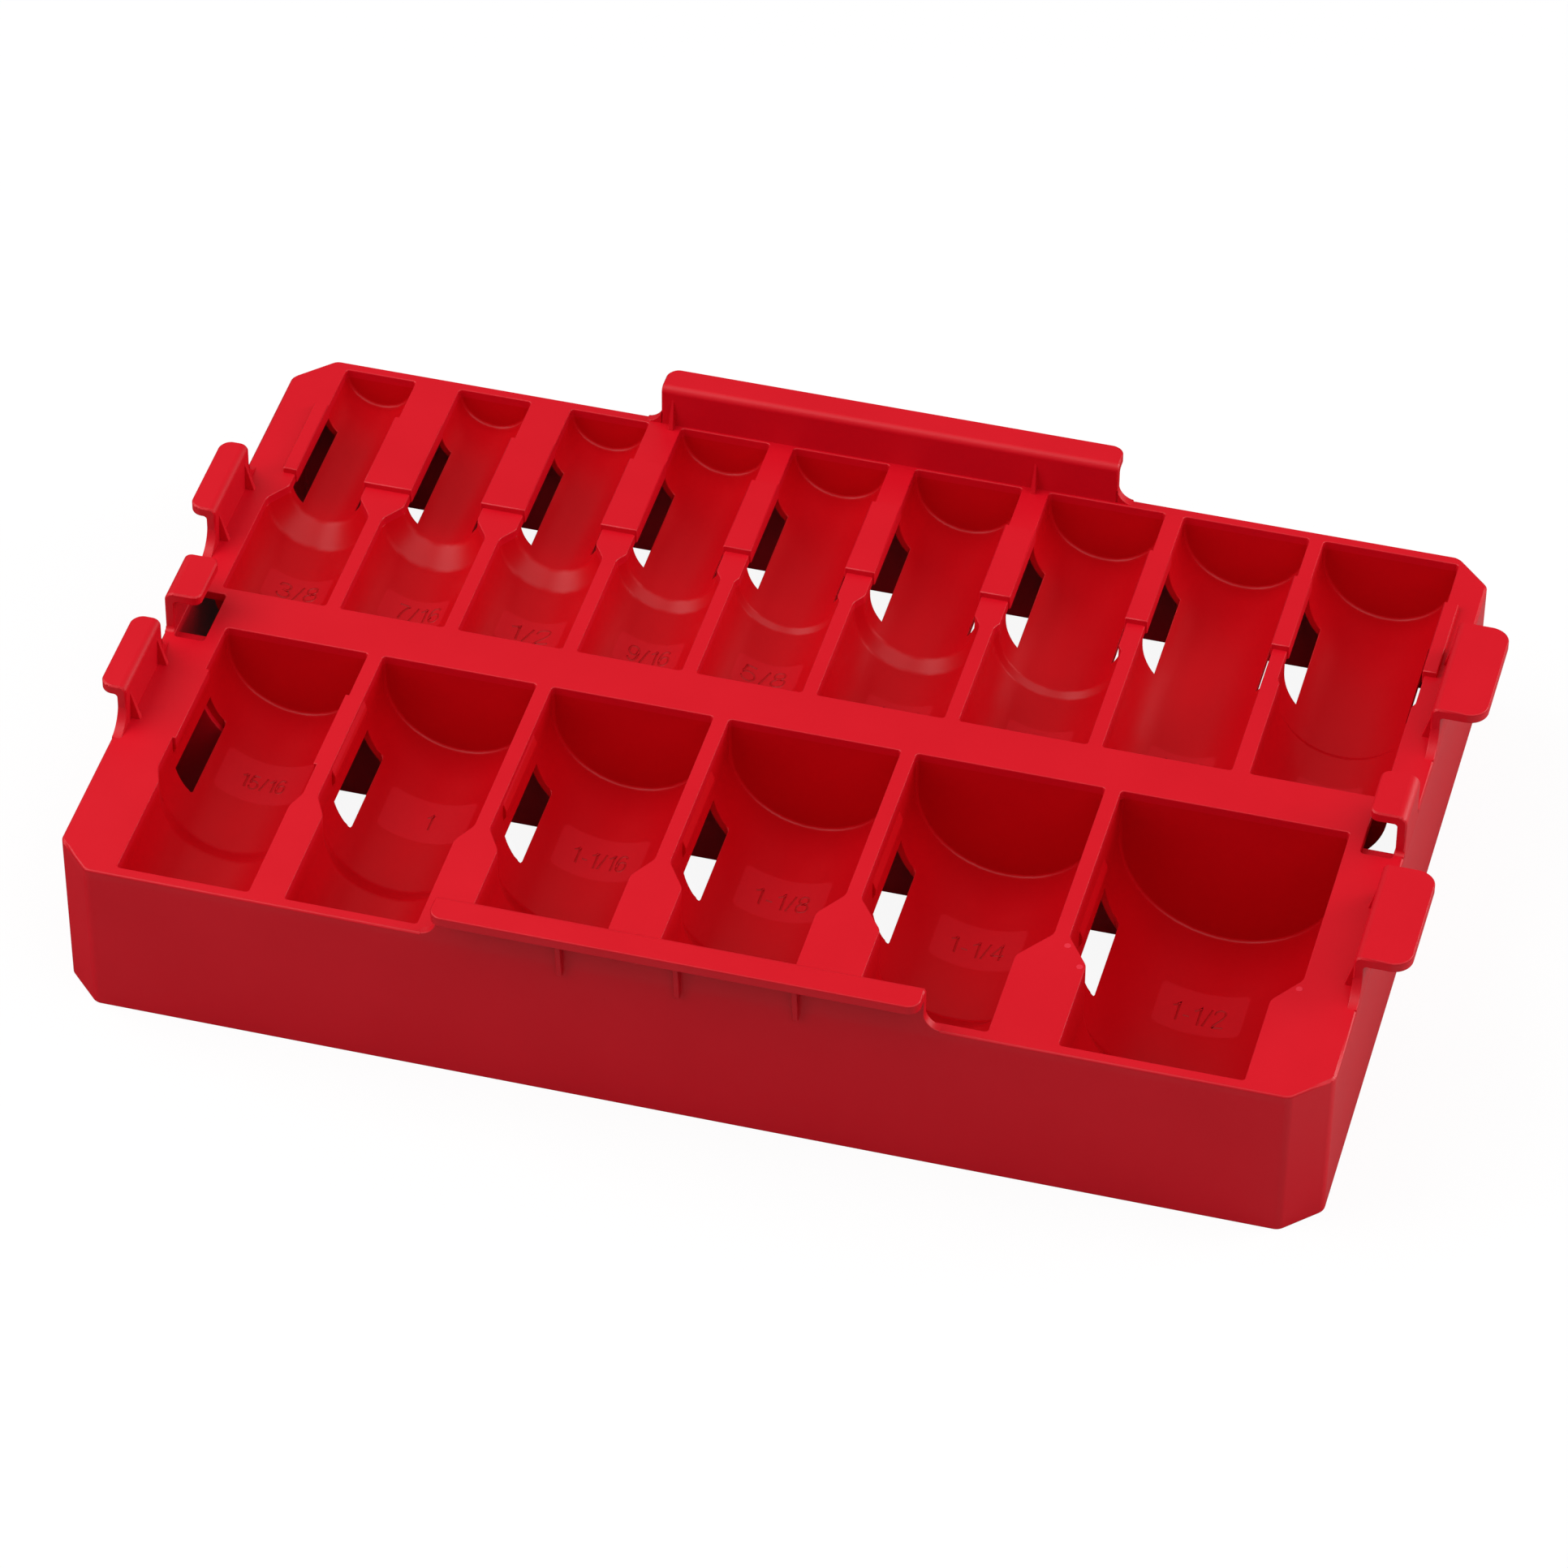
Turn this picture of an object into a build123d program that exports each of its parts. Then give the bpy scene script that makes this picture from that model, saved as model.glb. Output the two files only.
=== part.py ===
from build123d import *
import math
import os
from dataclasses import dataclass

# Socket organizer: a moulded tray that holds deep sockets on their sides in two rows of cradles.
# Millimetres. X runs across the tray, Y from its front to its rear, Z up from the rim it stands on.
# The tray is one moulding. Each of its features is a solid of its own, and they meet face to face.

# Tray
side_margin = 7.9
deck_depth = 186.5
tray_height = 40.65
deck_plate = 2.2
skirt_wall = 2.0
side_lean = 0.4
corner_cut = 8.4
corner_round = 3.0
inner_corner_round = 1.2
deck_edge_break = 0.6
seam_inset = 1.6

# Cradles
rim = 2.8
mid_bar = 13.3
back_rib = 3.4
front_rib = 3.6
end_wall = 1.6
floor_wall = 1.3
socket_stand = 11.75
back_step_place = 33.4
front_step_place = 34.2
back_step_base = 0.4
back_step_slope = 1.35
front_step_base = 3.0
front_step_slope = 0.9

# Sockets in order from the left: size, width of the pocket for the hex end, width for the drive end
small_drive = 25.0
large_drive = 30.0
wide_drive = 30.6
heavy_drive = 41.2
back_sockets = [
    ("3_8", 17.3, small_drive),
    ("7_16", 17.8, small_drive),
    ("1_2", 19.2, small_drive),
    ("9_16", 21.7, small_drive),
    ("5_8", 23.4, small_drive),
    ("11_16", 25.9, large_drive),
    ("3_4", 28.0, large_drive),
    ("13_16", large_drive, large_drive),
    ("7_8", 32.0, wide_drive),
]
front_sockets = [
    ("15_16", 34.1, wide_drive),
    ("1", 36.6, wide_drive),
    ("1_1_16", 38.2, wide_drive),
    ("1_1_8", 40.3, wide_drive),
    ("1_1_4", 43.8, wide_drive),
    ("1_1_2", 52.5, heavy_drive),
]

# Retention pads on the back ribs and beads on the front cradles, with the window under each
pad_setback = 15.3
pad_length = 25.3
pad_height = 1.5
pad_edge_break = 0.4
end_pad_width = 3.0
pad_overhang = 0.5
back_window_length = 27.0
back_window_base = 1.2
back_window_share = 0.12
bead_setback = 14.9
bead_length = 24.5
bead_overhang = 0.8
bead_top = 5.8
bead_crest_top = 3.4
bead_crest_foot = 2.0
bead_foot = 0.3
front_window_setback = 14.25
front_window_length = 25.2
front_window_width = 3.85
front_window_drop = 4.0

# Upstands: flanges, ears and hooks
upstand_height = 10.9
upstand_wall = 2.2
upstand_plate = 2.5
upstand_bend = 1.8
upstand_inner_round = 0.8
upstand_edge_break = 0.4
flange_length = 110.8
flange_reach = 5.5
flange_corner = 3.0
flange_foot = 3.6
right_ear_length = 31.5
right_ear_reach = 10.2
right_ear_corner = 4.5
right_ear_places = (42.6, -42.0)
left_ear_length = 25.2
left_ear_reach = 4.2
left_ear_corner = 3.0
left_ear_places = (32.65, -32.05)
ear_foot = 5.0
hook_length = 14.9
hook_reach = 8.6
hook_corner = 2.0
hook_bend = 2.4
hook_foot = 1.0
hook_place = -3.3
hook_hole_place = -4.15
hook_hole_length = 16.9
hook_hole_width = 7.2
hook_hole_gap = 0.3
hook_hole_round = 0.8
foot_flatness = 1.2

# Gussets
gusset_thickness = 1.3
gusset_tip = 0.6
gusset_base = 2.2
gusset_height = 7.5
ear_gusset_inset = 3.0
rear_gusset_insets = (2.8, 19.8)
front_gusset_pitch = 26.8
front_gusset_reach = 2.7
front_gusset_tip = 1.0
front_gusset_drop = 4.1

# Underside webs
web_thickness = 2.0
web_setback = 2.0
left_web_place = -21.2

# Sizes that follow from those above


def row_width(sockets, rib):
    """The width of a row of pockets, side by side, one rib apart."""
    return sum(max(hex_width, drive_width) for size, hex_width, drive_width in sockets) + rib * (len(sockets) - 1)


deck_width = row_width(back_sockets, back_rib) + 2 * side_margin
half_width = deck_width / 2
half_depth = deck_depth / 2
deck_under = tray_height - deck_plate
pocket_length = (deck_depth - 2 * rim - mid_bar) / 2
back_row_front = mid_bar / 2
front_row_front = rim - half_depth
margin = 10.0


@dataclass
class Pocket:
    """One socket's place: its axis, its two radii, its reach along Y and the step between the radii."""
    size: str
    x: float
    axis_z: float
    hex_radius: float
    drive_radius: float
    front: float
    step: float
    step_length: float
    wall: float

    @property
    def rear(self):
        return self.front + pocket_length


def lay_row(sockets, rib, front, step_place, step_base, step_slope):
    """Places a row of pockets side by side, centred on the tray. From where the wider end stops,
    each pocket narrows over a step that is longer where the widths differ more."""
    left = -row_width(sockets, rib) / 2
    row = []
    for size, hex_width, drive_width in sockets:
        width = max(hex_width, drive_width)
        sink = min(width / 2 - socket_stand, tray_height - floor_wall - width / 2)
        step_length = step_base + step_slope * abs(hex_width - drive_width) / 2
        step = front + step_place - (step_length if hex_width > drive_width else 0)
        row.append(Pocket(size, left + width / 2, tray_height - sink, hex_width / 2, drive_width / 2,
                          front, step, step_length, rib / 2))
        left += width + rib
    return row


back_row = lay_row(back_sockets, back_rib, back_row_front, back_step_place, back_step_base, back_step_slope)
front_row = lay_row(front_sockets, front_rib, front_row_front, front_step_place, front_step_base,
                    front_step_slope)


def block(x0, x1, y0, y1, z0, z1):
    """A box between two corners."""
    size = (x1 - x0, y1 - y0, z1 - z0)
    return Pos((x0 + x1) / 2, (y0 + y1) / 2, (z0 + z1) / 2) * Box(*size)


def layer(z0, z1):
    """Everything between two levels."""
    return block(-deck_width, deck_width, -deck_depth, deck_depth, z0, z1)


def half_outline(pocket, wall, front_wall, rear_wall):
    """Half a pocket in plan, from its axis to its right side, grown by the given walls."""
    front = pocket.front - front_wall
    rear = pocket.rear + rear_wall
    drive = pocket.drive_radius + wall
    body = pocket.hex_radius + wall
    slope = math.atan2(pocket.drive_radius - pocket.hex_radius, pocket.step_length)
    step = pocket.step + wall * math.tan(slope / 2)
    points = [(0, front), (drive, front)]
    if drive != body:
        points += [(drive, step), (body, step + pocket.step_length)]
    points += [(body, rear), (0, rear)]
    return Polygon(*points, align=None)


def barrel(outline, axis_z, top):
    """Turns a half outline into a trough: round below its axis, straight up to the given level."""
    trough = revolve(outline, axis=Axis.Y, revolution_arc=180)
    if top > axis_z:
        plan = outline + mirror(outline, about=Plane.YZ)
        trough += extrude(plan, amount=top - axis_z, dir=(0, 0, 1))
    return trough


def cavity(pocket):
    """The space that a socket lies in."""
    outline = half_outline(pocket, 0, 0, 0)
    return Pos(pocket.x, 0, pocket.axis_z) * barrel(outline, pocket.axis_z, tray_height + margin)


def windows(pocket, setback, length, width, top):
    """The two slots through a cradle's sides, below its pads or beads."""
    rear = pocket.rear - setback
    inner = pocket.hex_radius - width
    outer = pocket.hex_radius + pocket.wall + margin
    slot = block(inner, outer, rear - length, rear, -margin, top)
    return [Pos(pocket.x, 0, 0) * slot, Pos(pocket.x, 0, 0) * mirror(slot, about=Plane.YZ)]


def bead(pocket, side):
    """A long bead on one side wall of a front cradle, just above the socket's axis."""
    root = pocket.hex_radius + pocket.wall / 2
    crest = pocket.hex_radius - bead_overhang
    highest = tray_height - pocket.axis_z
    section = Polygon(
        (root, bead_foot),
        (root, min(bead_top, highest)),
        (pocket.hex_radius if bead_top < highest else crest, min(bead_top, highest)),
        (crest, bead_crest_top),
        (crest, bead_crest_foot),
        (pocket.hex_radius, bead_foot),
        align=None,
    )
    bar = extrude(Plane.XZ * section, amount=bead_length, dir=(0, -1, 0))
    bar = Pos(0, pocket.rear - bead_setback, pocket.axis_z) * bar
    if side < 0:
        bar = mirror(bar, about=Plane.YZ)
    return Pos(pocket.x, 0, 0) * bar


def shell_of(pocket, front_wall, rear_wall):
    """The outside of a cradle, below the deck."""
    outline = half_outline(pocket, pocket.wall, front_wall, rear_wall)
    outside = Pos(pocket.x, 0, pocket.axis_z) * barrel(outline, pocket.axis_z, deck_under)
    return outside & tapered(skirt_wall)


def back_cradle(pocket):
    """A cradle of the back row. Its windows open right under the deck."""
    cradle = shell_of(pocket, end_wall, rim - skirt_wall) - cavity(pocket)
    width = back_window_base + back_window_share * pocket.hex_radius
    for slot in windows(pocket, pad_setback, back_window_length, width, tray_height):
        cradle -= slot
    return cradle


def front_cradle(pocket):
    """A cradle of the front row. Its windows open under its beads."""
    cradle = shell_of(pocket, rim - skirt_wall, end_wall) - cavity(pocket)
    top = pocket.axis_z - front_window_drop
    for slot in windows(pocket, front_window_setback, front_window_length, front_window_width, top):
        cradle -= slot
    for side in (-1, 1):
        cradle += bead(pocket, side) & layer(0, deck_under)
    return cradle


def tray_outline(inset, lean):
    """The tray in plan, with its cut corners."""
    outline = Rectangle(deck_width - 2 * (inset + lean), deck_depth - 2 * inset)
    outline = chamfer(outline.vertices(), corner_cut - inset * (2 - math.sqrt(2)))
    return fillet(outline.vertices(), max(corner_round - inset, inner_corner_round))


def tapered(inset):
    """The tray's outside, or its inside with an inset, from the deck down to the rim."""
    top = Pos(0, 0, deck_under) * tray_outline(inset, 0)
    return loft([tray_outline(inset, side_lean), top], ruled=True)


def skirt():
    """The four walls, mitred at the middle of the cut corners."""
    ring = tapered(0) - tapered(skirt_wall)
    near = half_depth - 2 * corner_cut
    inset = half_width - 2 * corner_cut
    far = half_depth + margin
    spread = half_width + margin
    end_wedge = Polygon((-inset, near), (inset, near), (spread, far), (-spread, far), align=None)
    side_wedge = Polygon((inset, -near), (spread, -far), (spread, far), (inset, near), align=None)
    rear = ring & extrude(end_wedge, amount=tray_height, dir=(0, 0, 1))
    right = ring & extrude(side_wedge, amount=tray_height, dir=(0, 0, 1))
    return {
        "front_wall": mirror(rear, about=Plane.XZ),
        "rear_wall": rear,
        "left_wall": mirror(right, about=Plane.YZ),
        "right_wall": right,
    }


def free_edge_gaps():
    """Stretches of the deck's edge that run straight up into an upstand and aren't broken."""
    reach = upstand_wall + margin
    span = flange_length / 2 + flange_foot
    gaps = [block(-span, span, half_depth - upstand_wall, half_depth + reach, deck_under, tray_height)]
    gaps.append(mirror(gaps[0], about=Plane.XZ))
    for side, places, length, flare in (
        (1, right_ear_places, right_ear_length, ear_foot),
        (-1, left_ear_places, left_ear_length, ear_foot),
        (1, (hook_place,), hook_length, hook_foot),
        (-1, (hook_place,), hook_length, hook_foot),
    ):
        for place in places:
            span = length / 2 + flare
            inner = half_width - upstand_wall
            gap = block(inner, inner + reach, place - span, place + span, deck_under, tray_height)
            gaps.append(gap if side > 0 else mirror(gap, about=Plane.YZ))
    return gaps


def deck():
    """The whole deck plate with its pockets and hook holes, before it is split."""
    square = extrude(Pos(0, 0, deck_under) * tray_outline(0, 0), amount=deck_plate)
    plate = chamfer(square.faces().sort_by(Axis.Z)[-1].edges(), deck_edge_break)
    for gap in free_edge_gaps():
        plate += square & gap
    for pocket in back_row + front_row:
        plate -= cavity(pocket)
    hole_outer = half_width - upstand_wall - hook_hole_gap
    hole = block(hole_outer - hook_hole_width, hole_outer, hook_hole_place - hook_hole_length / 2,
                 hook_hole_place + hook_hole_length / 2, 0, tray_height + margin)
    hole = fillet(hole.edges().filter_by(Axis.Z), hook_hole_round)
    return plate - hole - mirror(hole, about=Plane.YZ)


def pad(x0, x1, rear):
    """A raised retention pad whose lips stand over the pockets beside it."""
    body = block(x0, x1, rear - pad_length, rear, deck_under, tray_height + pad_height)
    return chamfer(body.faces().sort_by(Axis.Z)[-1].edges(), pad_edge_break)


def split_deck():
    """The deck as rails, corner decks and ribs, with their pads and beads."""
    plate = deck()
    back_front = back_row[0].front + seam_inset
    back_rear = back_row[0].rear - seam_inset
    front_front = front_row[0].front + seam_inset
    front_rear = front_row[0].rear - seam_inset

    def band(y0, y1):
        return plate & block(-deck_width, deck_width, y0, y1, 0, tray_height + margin)

    nodes = {
        "rear_rail": band(back_rear, deck_depth),
        "mid_rail": band(front_rear, back_front),
        "front_rail": band(-deck_depth, front_front),
    }
    back = band(back_front, back_rear).solids().sort_by(Axis.X)
    front = band(front_front, front_rear).solids().sort_by(Axis.X)

    pad_rear = back_row[0].rear - pad_setback
    right_edges = [pocket.x + pocket.hex_radius - pad_overhang for pocket in back_row]
    left_edges = [pocket.x - pocket.hex_radius + pad_overhang for pocket in back_row]
    starts = [left_edges[0] - pad_overhang - end_pad_width] + right_edges
    stops = left_edges + [right_edges[-1] + pad_overhang + end_pad_width]
    back = [piece + pad(start, stop, pad_rear) for piece, start, stop in zip(back, starts, stops)]

    for index, pocket in enumerate(front_row):
        if pocket.axis_z + bead_top > deck_under:
            front[index] += bead(pocket, -1) & layer(deck_under, tray_height)
            front[index + 1] += bead(pocket, 1) & layer(deck_under, tray_height)

    nodes["rear_left_deck"] = back[0]
    nodes["rear_right_deck"] = back[-1]
    nodes["front_left_deck"] = front[0]
    nodes["front_right_deck"] = front[-1]
    for pocket, piece in zip(back_row[1:], back[1:]):
        nodes["rib_left_of_" + pocket.size] = piece
    for pocket, piece in zip(front_row[1:], front[1:]):
        nodes["rib_left_of_" + pocket.size] = piece
    return nodes


def foot(length, size):
    """The flare at the foot of an upstand's end, drawn where +X is outwards and Y is along it."""
    start = length / 2
    top = Line((start, 0), (start, size))
    curve = RadiusArc((start, size), (start + size, 0), -foot_flatness * size)
    base = Line((start + size, 0), (start, 0))
    section = make_face(top + curve + base)
    flare = Pos(-upstand_wall, 0, 0) * extrude(Plane.YZ * section, amount=upstand_wall, dir=(1, 0, 0))
    return flare + mirror(flare, about=Plane.XZ)


def upstand(length, inner, outer, corner, foot_size, bend_round=upstand_bend):
    """A wall on the deck's edge with a plate on top, from inner to outer; x = 0 is the tray's side."""
    wall = block(-upstand_wall, 0, -length / 2, length / 2, 0, upstand_height)
    plate = block(inner, outer, -length / 2, length / 2, upstand_height - upstand_plate, upstand_height)
    tip = -1 if outer > 0 else 0
    plate = fillet(plate.edges().filter_by(Axis.Z).group_by(Axis.X)[tip], corner)
    body = wall + plate
    back = -upstand_wall if outer > 0 else 0
    inside = 0 if outer > 0 else -upstand_wall
    along = body.edges().filter_by(Axis.Y)
    bend = [e for e in along if abs(e.center().X - back) < 0.01 and e.center().Z > upstand_height - 0.01]
    body = fillet(bend, bend_round)
    along = body.edges().filter_by(Axis.Y)
    crease = [e for e in along if abs(e.center().X - inside) < 0.01
              and abs(e.center().Z - upstand_height + upstand_plate) < 0.01]
    body = fillet(crease, upstand_inner_round)
    rim_edges = body.faces().sort_by(Axis.Z)[-1].edges()
    free = [e for e in rim_edges if not (e.center().X < 0) == (outer > 0)]
    if free:
        body = chamfer(free, upstand_edge_break)
    return body + foot(length, foot_size)


def inner_gusset(at):
    """A slim triangular rib from an upstand's wall down to the deck, narrower at its top."""
    side = Polygon(
        (-upstand_wall, 0),
        (-upstand_wall, gusset_height),
        (-upstand_wall - gusset_base, 0),
        align=None,
    )
    face = Polygon(
        (-gusset_thickness / 2, 0),
        (gusset_thickness / 2, 0),
        (gusset_tip / 2, gusset_height),
        (-gusset_tip / 2, gusset_height),
        align=None,
    )
    rib = extrude(Plane.XZ * side, amount=gusset_thickness, both=True)
    rib &= extrude(Plane.YZ * face, amount=margin, dir=(-1, 0, 0))
    return Pos(0, at, 0) * rib


def front_gusset(at):
    """A rib under the front flange that runs down over the front wall."""
    top = upstand_height - upstand_plate
    section = Polygon(
        (0, top),
        (front_gusset_reach, top),
        (front_gusset_tip, -front_gusset_drop),
        (0, -front_gusset_drop),
        align=None,
    )
    return Pos(0, at, 0) * extrude(Plane.XZ * section, amount=gusset_thickness / 2, both=True)


def ear(length, reach, corner):
    """An ear on a side of the tray, with two gussets."""
    body = upstand(length, -upstand_wall, reach, corner, ear_foot)
    for at in (ear_gusset_inset - length / 2, length / 2 - ear_gusset_inset):
        body += inner_gusset(at)
    return body


def upstands():
    """The flanges, ears and hooks in their places on the deck."""
    right_side = Pos(half_width, 0, tray_height)
    rear_side = Pos(0, half_depth, tray_height) * Rot(0, 0, 90)
    front_side = Pos(0, -half_depth, tray_height) * Rot(0, 0, -90)
    flange = upstand(flange_length, -upstand_wall, flange_reach, flange_corner, flange_foot)
    rear_flange = flange
    left_inset, right_inset = rear_gusset_insets
    for place in (flange_length / 2 - left_inset, right_inset - flange_length / 2):
        rear_flange += inner_gusset(place)
    front_flange = flange
    for step in (-1, 0, 1):
        front_flange += front_gusset(step * front_gusset_pitch)
    right_ear = ear(right_ear_length, right_ear_reach, right_ear_corner)
    left_ear = ear(left_ear_length, left_ear_reach, left_ear_corner)
    hook = upstand(hook_length, -hook_reach, 0, hook_corner, hook_foot, hook_bend)

    def on_right(shape, place):
        return right_side * Pos(0, place, 0) * shape

    def on_left(shape, place):
        return mirror(on_right(shape, place), about=Plane.YZ)

    return {
        "rear_flange": rear_side * rear_flange,
        "front_flange": front_side * front_flange,
        "right_rear_ear": on_right(right_ear, right_ear_places[0]),
        "right_front_ear": on_right(right_ear, right_ear_places[1]),
        "left_rear_ear": on_left(left_ear, left_ear_places[0]),
        "left_front_ear": on_left(left_ear, left_ear_places[1]),
        "right_hook": on_right(hook, hook_place),
        "left_hook": on_left(hook, hook_place),
    }


def cross_web():
    """The web across the underside that carries the hex ends of the front row."""
    rear = front_row[0].rear - web_setback
    web = tapered(skirt_wall) & block(-deck_width, deck_width, rear - web_thickness, rear, 0, deck_under)
    for pocket in front_row:
        web -= shell_of(pocket, rim - skirt_wall, end_wall)
        web -= cavity(pocket)
    return web


def left_web():
    """The short web between the left wall and the first cradle of the front row."""
    near = left_web_place - web_thickness / 2
    far = left_web_place + web_thickness / 2
    web = tapered(skirt_wall) & block(-deck_width, front_row[0].x, near, far, 0, deck_under)
    return web - shell_of(front_row[0], rim - skirt_wall, end_wall) - cavity(front_row[0])


def all_nodes():
    """Every node of the tray by name."""
    nodes = skirt()
    nodes.update(split_deck())
    for pocket in back_row:
        nodes["cradle_" + pocket.size] = back_cradle(pocket)
    for pocket in front_row:
        nodes["cradle_" + pocket.size] = front_cradle(pocket)
    nodes.update(upstands())
    nodes["cross_web"] = cross_web()
    nodes["left_web"] = left_web()
    return nodes


# The origin is the middle of the whole tray's footprint, on the plane that its rim stands on.
origin = Pos((left_ear_reach - right_ear_reach) / 2, 0, 0)

os.makedirs("parts", exist_ok=True)
for name, shape in all_nodes().items():
    export_step(origin * shape, "parts/" + name + ".step")
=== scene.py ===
import math
from collections import namedtuple

import bmesh
import bpy
from mathutils import Matrix, Vector
from mathutils.bvhtree import BVHTree


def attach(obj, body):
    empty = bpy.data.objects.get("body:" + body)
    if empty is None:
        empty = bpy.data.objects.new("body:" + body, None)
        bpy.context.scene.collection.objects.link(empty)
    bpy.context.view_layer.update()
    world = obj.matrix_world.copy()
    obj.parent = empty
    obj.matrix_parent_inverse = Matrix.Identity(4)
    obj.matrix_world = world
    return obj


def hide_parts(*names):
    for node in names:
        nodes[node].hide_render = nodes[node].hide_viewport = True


# Socket organizer: each feature of the moulded tray gets its rounded edges and its plastic, and the cradles
# get their engraved size numerals. Metres in Blender; the tray's own sizes below are in millimetres.
# X runs across the tray, Y from its front to its rear, Z up from the rim that it stands on.

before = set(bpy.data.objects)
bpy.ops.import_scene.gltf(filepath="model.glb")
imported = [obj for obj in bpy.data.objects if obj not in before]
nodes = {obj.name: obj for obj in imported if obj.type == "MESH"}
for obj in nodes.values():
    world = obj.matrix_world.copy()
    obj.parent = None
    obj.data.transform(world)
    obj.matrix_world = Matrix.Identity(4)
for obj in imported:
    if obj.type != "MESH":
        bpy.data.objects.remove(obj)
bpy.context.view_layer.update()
MM = 0.001


# Shared helpers

def placed(name, data):
    """A new object in the scene with the given data."""
    item = bpy.data.objects.new(name, data)
    bpy.context.scene.collection.objects.link(item)
    return item


def feed(tree, socket, value):
    """Gives an input its value, which is another node's output or a constant."""
    if isinstance(value, bpy.types.NodeSocket):
        tree.links.new(value, socket)
    else:
        socket.default_value = value


def math_node(tree, operation, first, second=None):
    """A Math node on one or two inputs, each an output or a number. Returns its output."""
    node = tree.nodes.new("ShaderNodeMath")
    node.operation = operation
    for index, value in enumerate((first, second)):
        if value is not None:
            feed(tree, node.inputs[index], value)
    return node.outputs[0]


def colour_mix(tree, factor, first, second):
    """A mix of two colours, each an output or a colour. Returns its output."""
    node = tree.nodes.new("ShaderNodeMix")
    node.data_type = "RGBA"
    feed(tree, node.inputs["Factor"], factor)
    feed(tree, node.inputs["A"], first)
    feed(tree, node.inputs["B"], second)
    return node.outputs["Result"]


def evaluated_mesh(holder):
    """An object's mesh with its modifiers applied."""
    bpy.context.view_layer.update()
    ready = holder.evaluated_get(bpy.context.evaluated_depsgraph_get())
    return bpy.data.meshes.new_from_object(ready)


# View

PICTURE_PIXELS = 1932
FOCAL_PIXELS = 9562.0
SENSOR_WIDTH = 36.0
CAMERA_REACH = 20.0
CAMERA_PLACE = Vector((330.65, -1277.96, 1208.01))
CAMERA_ACROSS = Vector((0.96594, 0.25868, 0.00633))
CAMERA_DOWN = Vector((0.17771, -0.64542, -0.74287))
CAMERA_AHEAD = Vector((-0.18808, 0.71869, -0.66941))


def photo_camera():
    """The camera at the photograph's angle, in a square picture."""
    data = bpy.data.cameras.new("photo_camera")
    data.sensor_width = SENSOR_WIDTH
    data.lens = FOCAL_PIXELS / PICTURE_PIXELS * SENSOR_WIDTH
    data.clip_end = CAMERA_REACH
    camera = placed("photo_camera", data)
    turn = Matrix((CAMERA_ACROSS, -CAMERA_DOWN, -CAMERA_AHEAD)).transposed().to_4x4()
    camera.matrix_world = Matrix.Translation(CAMERA_PLACE * MM) @ turn
    bpy.context.scene.camera = camera


TRAY_MIDDLE = (0, 0, 0.03)
RIGHT_WALL = (0.15, 0, 0.02)


def soft_lamp(name, place, aim, size, power):
    """A square softbox that points at a spot on the tray."""
    data = bpy.data.lights.new(name, "AREA")
    data.shape = "SQUARE"
    data.size = size
    data.energy = power
    lamp = placed(name, data)
    way = Vector(aim) - Vector(place)
    lamp.matrix_world = Matrix.Translation(place) @ way.to_track_quat("-Z", "Y").to_matrix().to_4x4()


def white_share(tree, glossy_share):
    """Is 1 where the camera or glass looks straight at a surface, and less where a reflection does."""
    rays = tree.nodes.new("ShaderNodeLightPath").outputs
    mirrored = math_node(tree, "MULTIPLY", rays["Is Glossy Ray"], glossy_share)
    straight = math_node(tree, "MAXIMUM", rays["Is Camera Ray"], rays["Is Transmission Ray"])
    return math_node(tree, "MAXIMUM", straight, mirrored)


def white_source(tree, kind, strength):
    """A white background or a white glow of one strength."""
    source = tree.nodes.new(kind)
    source.inputs["Color"].default_value = (1, 1, 1, 1)
    source.inputs["Strength"].default_value = strength
    return source


def show_share(tree, share, lit, shown, out):
    """Puts out what light meets, mixed with the share of white that is seen in its place."""
    mix = tree.nodes.new("ShaderNodeMixShader")
    tree.links.new(share, mix.inputs["Fac"])
    tree.links.new(lit.outputs[0], mix.inputs[1])
    tree.links.new(shown.outputs[0], mix.inputs[2])
    tree.links.new(mix.outputs[0], out.inputs["Surface"])


def white_world(ambient, glossy_share):
    """A surround that looks white, lights the tray softly and shows only faintly in its gloss."""
    world = bpy.data.worlds.new("white_surround")
    world.use_nodes = True
    tree = world.node_tree
    tree.nodes.clear()
    glow = white_source(tree, "ShaderNodeBackground", ambient)
    shown = white_source(tree, "ShaderNodeBackground", 1.0)
    out = tree.nodes.new("ShaderNodeOutputWorld")
    show_share(tree, white_share(tree, glossy_share), glow, shown, out)
    bpy.context.scene.world = world


FLOOR_REACH = 6.0
FLOOR_LIT = (0.55, 0.55, 0.55, 1)
FLOOR_SEEN = (0.95, 0.95, 0.95, 1)
# In the plastic's gloss the floor has a painted shade under the tray and a painted paler band to the right
# of it, which paints a sheen on the tray's right wall
PAINTED_FLOOR_REFLECTION = {"From Min": 0.12, "From Max": 0.17, "To Min": 0.03, "To Max": 0.28}


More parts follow.
